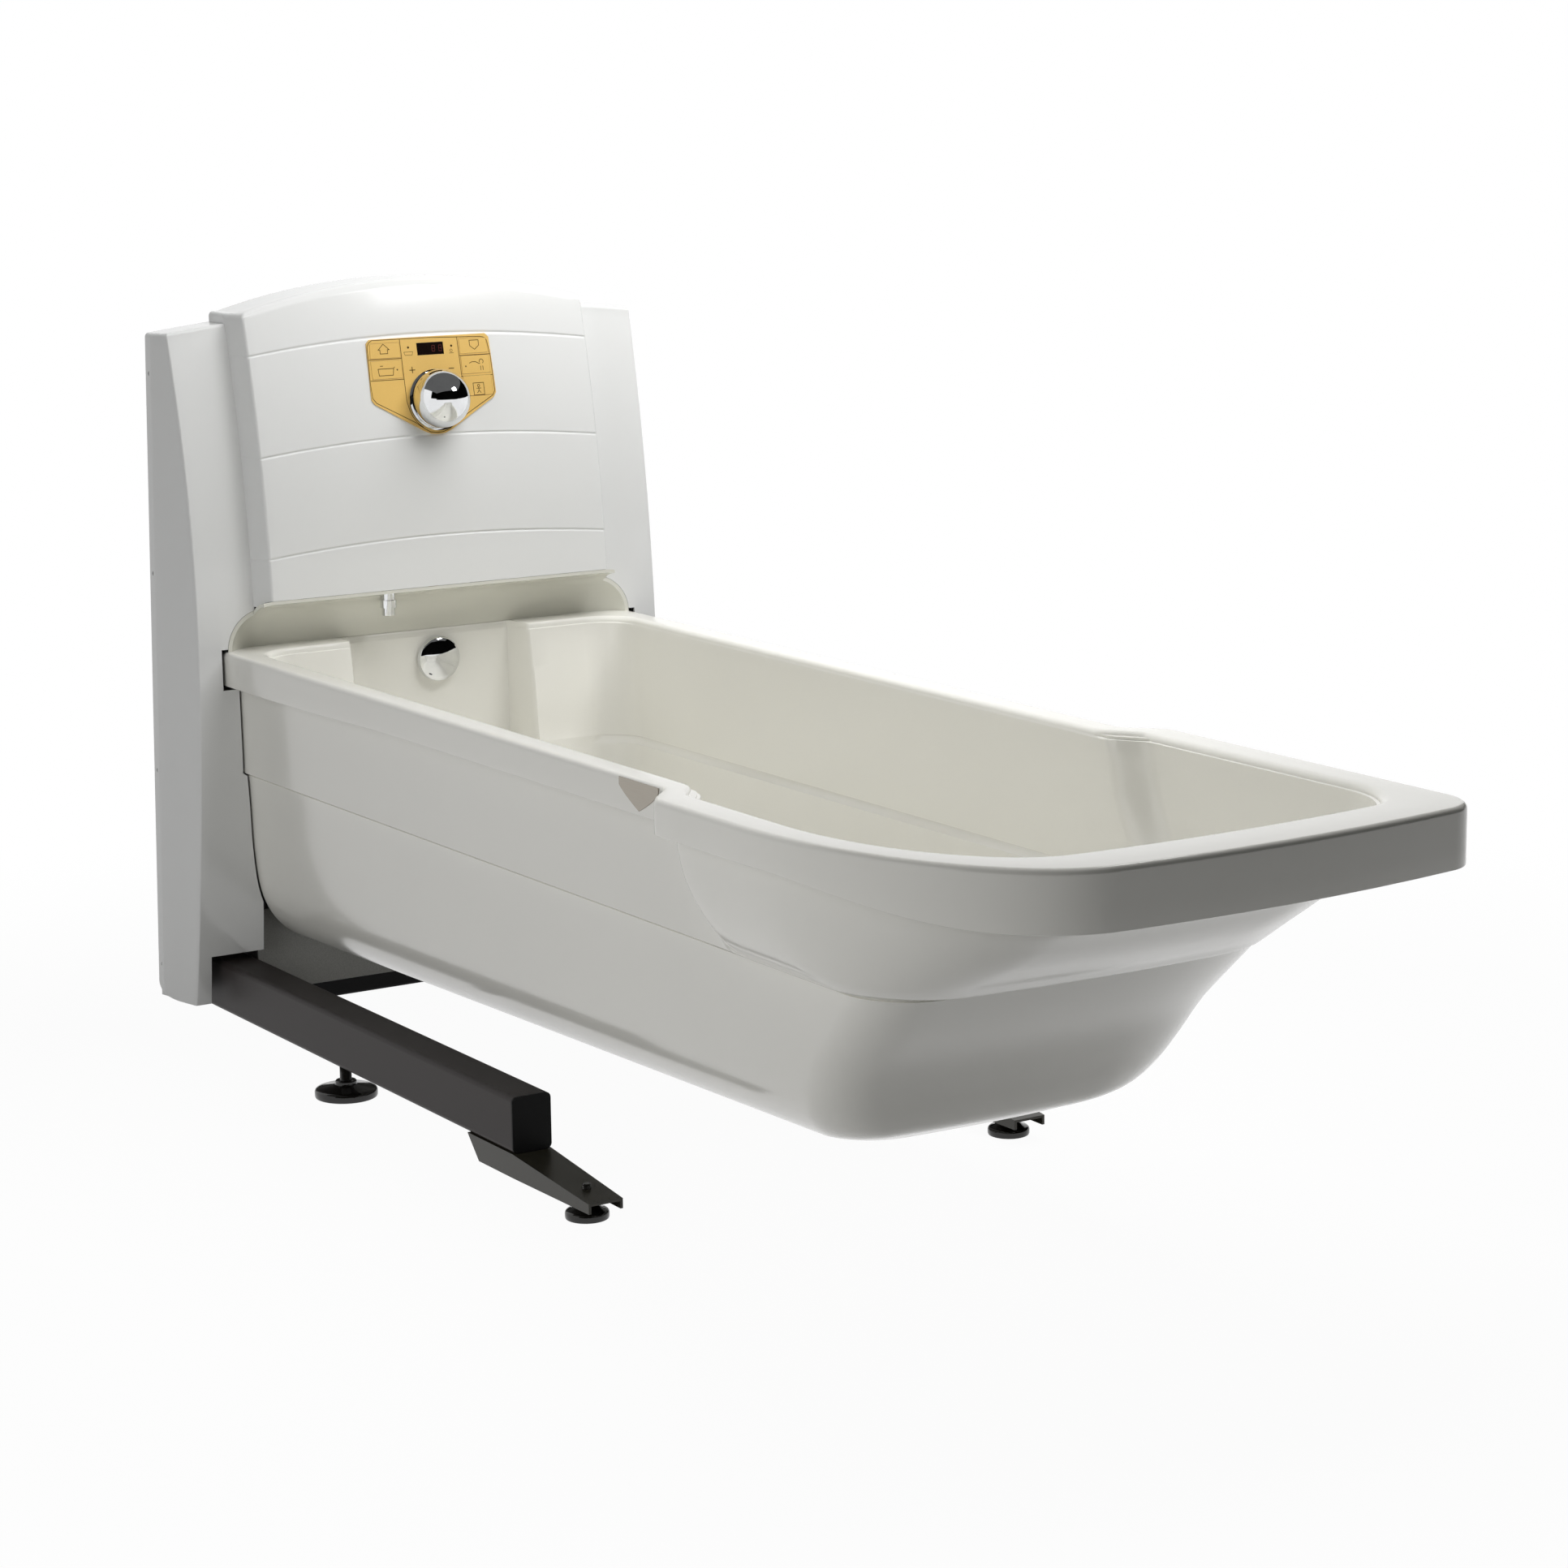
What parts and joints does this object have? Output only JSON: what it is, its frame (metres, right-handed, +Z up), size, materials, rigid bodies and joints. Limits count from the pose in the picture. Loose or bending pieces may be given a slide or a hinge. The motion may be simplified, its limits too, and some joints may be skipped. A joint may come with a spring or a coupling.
{
  "type": "height-adjustable assisted bath",
  "caption": "Height-adjustable care bath: a cream tub and white column housing that ride up and down together on a floor frame, with a control panel and thermostat knob.",
  "frame": {"origin": "centre of the bounding box on the floor, under the four levelling feet", "axes": "+X from the column housing to the free end of the tub, +Y across the tub away from the side with the large rounded corner, +Z up"},
  "size_m": [2.133, 0.88, 1.178],
  "materials": {
    "leg_paint": "fine-textured dark brown-grey powder coat",
    "dark_steel": "satin dark grey coat",
    "bracket_coat": "glossy bronze-green coat",
    "black_plastic": "matte",
    "grey_plastic": "matte",
    "pale_plastic": "matte",
    "box_plastic": "matte",
    "zinc": "bright zinc plate",
    "foot_steel": "dull dark steel",
    "bare_aluminium": "satin",
    "pad_rubber": "matte",
    "tub_gelcoat": "gloss warm white",
    "cove_gelcoat": "gloss cream",
    "cover_gelcoat": "gloss cool white",
    "lower_gelcoat": "gloss cool white",
    "brushed_steel": "brushed",
    "amber_panel": "satin amber-gold film",
    "display_black": "gloss",
    "board_green": "satin",
    "chrome": "polished",
    "brass": "satin",
    "copper_pipe": "satin copper"
  },
  "bodies": {
    "base": {"leg_left": "leg_paint", "leg_right": "leg_paint", "leg_end_caps": "black_plastic", "cross_member": "dark_steel", "front_bracket_left": "bracket_coat", "front_bracket_right": "bracket_coat", "bracket_bolts": "zinc", "upright_left": "dark_steel", "upright_right": "dark_steel", "upright_caps": "black_plastic", "actuator_motor": "black_plastic", "actuator_tube": "bare_aluminium"},
    "lift": {"carriage": "dark_steel", "glide_bushes": "pale_plastic", "actuator_rod": "zinc", "support_arm_left": "dark_steel", "support_arm_right": "dark_steel", "cradle_pads": "pad_rubber", "tub_casing": "tub_gelcoat", "tub_shell": "tub_gelcoat", "splash_cove": "cove_gelcoat", "raised_panel": "cover_gelcoat", "side_cover_left": "cover_gelcoat", "side_cover_right": "cover_gelcoat", "rear_cover": "cover_gelcoat", "lower_cover": "lower_gelcoat", "cover_screws": "zinc", "shield_plate": "brushed_steel", "control_plate": "amber_panel", "display_window": "display_black", "control_board": "board_green", "knob_collar": "chrome", "thermostat_valve": "brass", "hose_outlet": "chrome", "outlet_pipe": "copper_pipe", "filler_pipe": "copper_pipe", "supply_stubs": "brass", "overflow_body": "grey_plastic", "overflow_pipe": "grey_plastic", "waste_body": "chrome", "waste_pipe": "grey_plastic", "control_box": "box_plastic", "cable_gland": "black_plastic"},
    "foot_rear_left": {"rear_foot_left": "foot_steel"},
    "foot_rear_right": {"rear_foot_right": "foot_steel"},
    "foot_front_left": {"front_foot_left": "foot_steel"},
    "foot_front_right": {"front_foot_right": "foot_steel"},
    "button_raise": {"key_raise": "amber_panel"},
    "button_lower": {"key_lower": "amber_panel"},
    "button_fill": {"key_fill": "amber_panel"},
    "button_shower": {"key_shower": "amber_panel"},
    "button_timer": {"key_timer": "amber_panel"},
    "knob": {"thermostat_knob": "chrome"},
    "overflow_cap": {"overflow_knob": "chrome"},
    "plug": {"waste_plug": "chrome"}
  },
  "joints": [
    {"name": "tub_lift", "type": "slide", "parent": "base", "child": "lift", "axis": [0, 0, 1], "range_m": [0, 0.4]},
    {"name": "foot_rear_left_screw", "type": "slide", "parent": "base", "child": "foot_rear_left", "axis": [0, 0, -1], "range_m": [0, 0.015]},
    {"name": "foot_rear_right_screw", "type": "slide", "parent": "base", "child": "foot_rear_right", "axis": [0, 0, -1], "range_m": [0, 0.015]},
    {"name": "foot_front_left_screw", "type": "slide", "parent": "base", "child": "foot_front_left", "axis": [0, 0, -1], "range_m": [0, 0.015]},
    {"name": "foot_front_right_screw", "type": "slide", "parent": "base", "child": "foot_front_right", "axis": [0, 0, -1], "range_m": [0, 0.015]},
    {"name": "temperature_turn", "type": "hinge", "parent": "lift", "child": "knob", "pos_m": [-0.92302, 0.014, 0.99327], "axis": [0.9797, 0, 0.2004], "range_deg": [-135, 135]},
    {"name": "button_raise_press", "type": "slide", "parent": "lift", "child": "button_raise", "axis": [-0.9797, 0, -0.2004], "range_m": [0, 0.0008], "stiffness_N_per_m": 1500},
    {"name": "button_lower_press", "type": "slide", "parent": "lift", "child": "button_lower", "axis": [-0.9797, 0, -0.2004], "range_m": [0, 0.0008], "stiffness_N_per_m": 1500},
    {"name": "button_fill_press", "type": "slide", "parent": "lift", "child": "button_fill", "axis": [-0.9797, 0, -0.2004], "range_m": [0, 0.0008], "stiffness_N_per_m": 1500},
    {"name": "button_shower_press", "type": "slide", "parent": "lift", "child": "button_shower", "axis": [-0.9797, 0, -0.2004], "range_m": [0, 0.0008], "stiffness_N_per_m": 1500},
    {"name": "button_timer_press", "type": "slide", "parent": "lift", "child": "button_timer", "axis": [-0.9797, 0, -0.2004], "range_m": [0, 0.0008], "stiffness_N_per_m": 1500},
    {"name": "overflow_cap_turn", "type": "hinge", "parent": "lift", "child": "overflow_cap", "pos_m": [-0.9565, 0.015, 0.578], "axis": [1, 0, 0], "range_deg": [0, 90]},
    {"name": "plug_lift", "type": "slide", "parent": "lift", "child": "plug", "axis": [0, 0, 1], "range_m": [0, 0.008]}
  ],
  "couplings": [
    {"joint": "plug_lift", "follows": "overflow_cap_turn", "m_per_rad": 0.0050929}
  ]
}
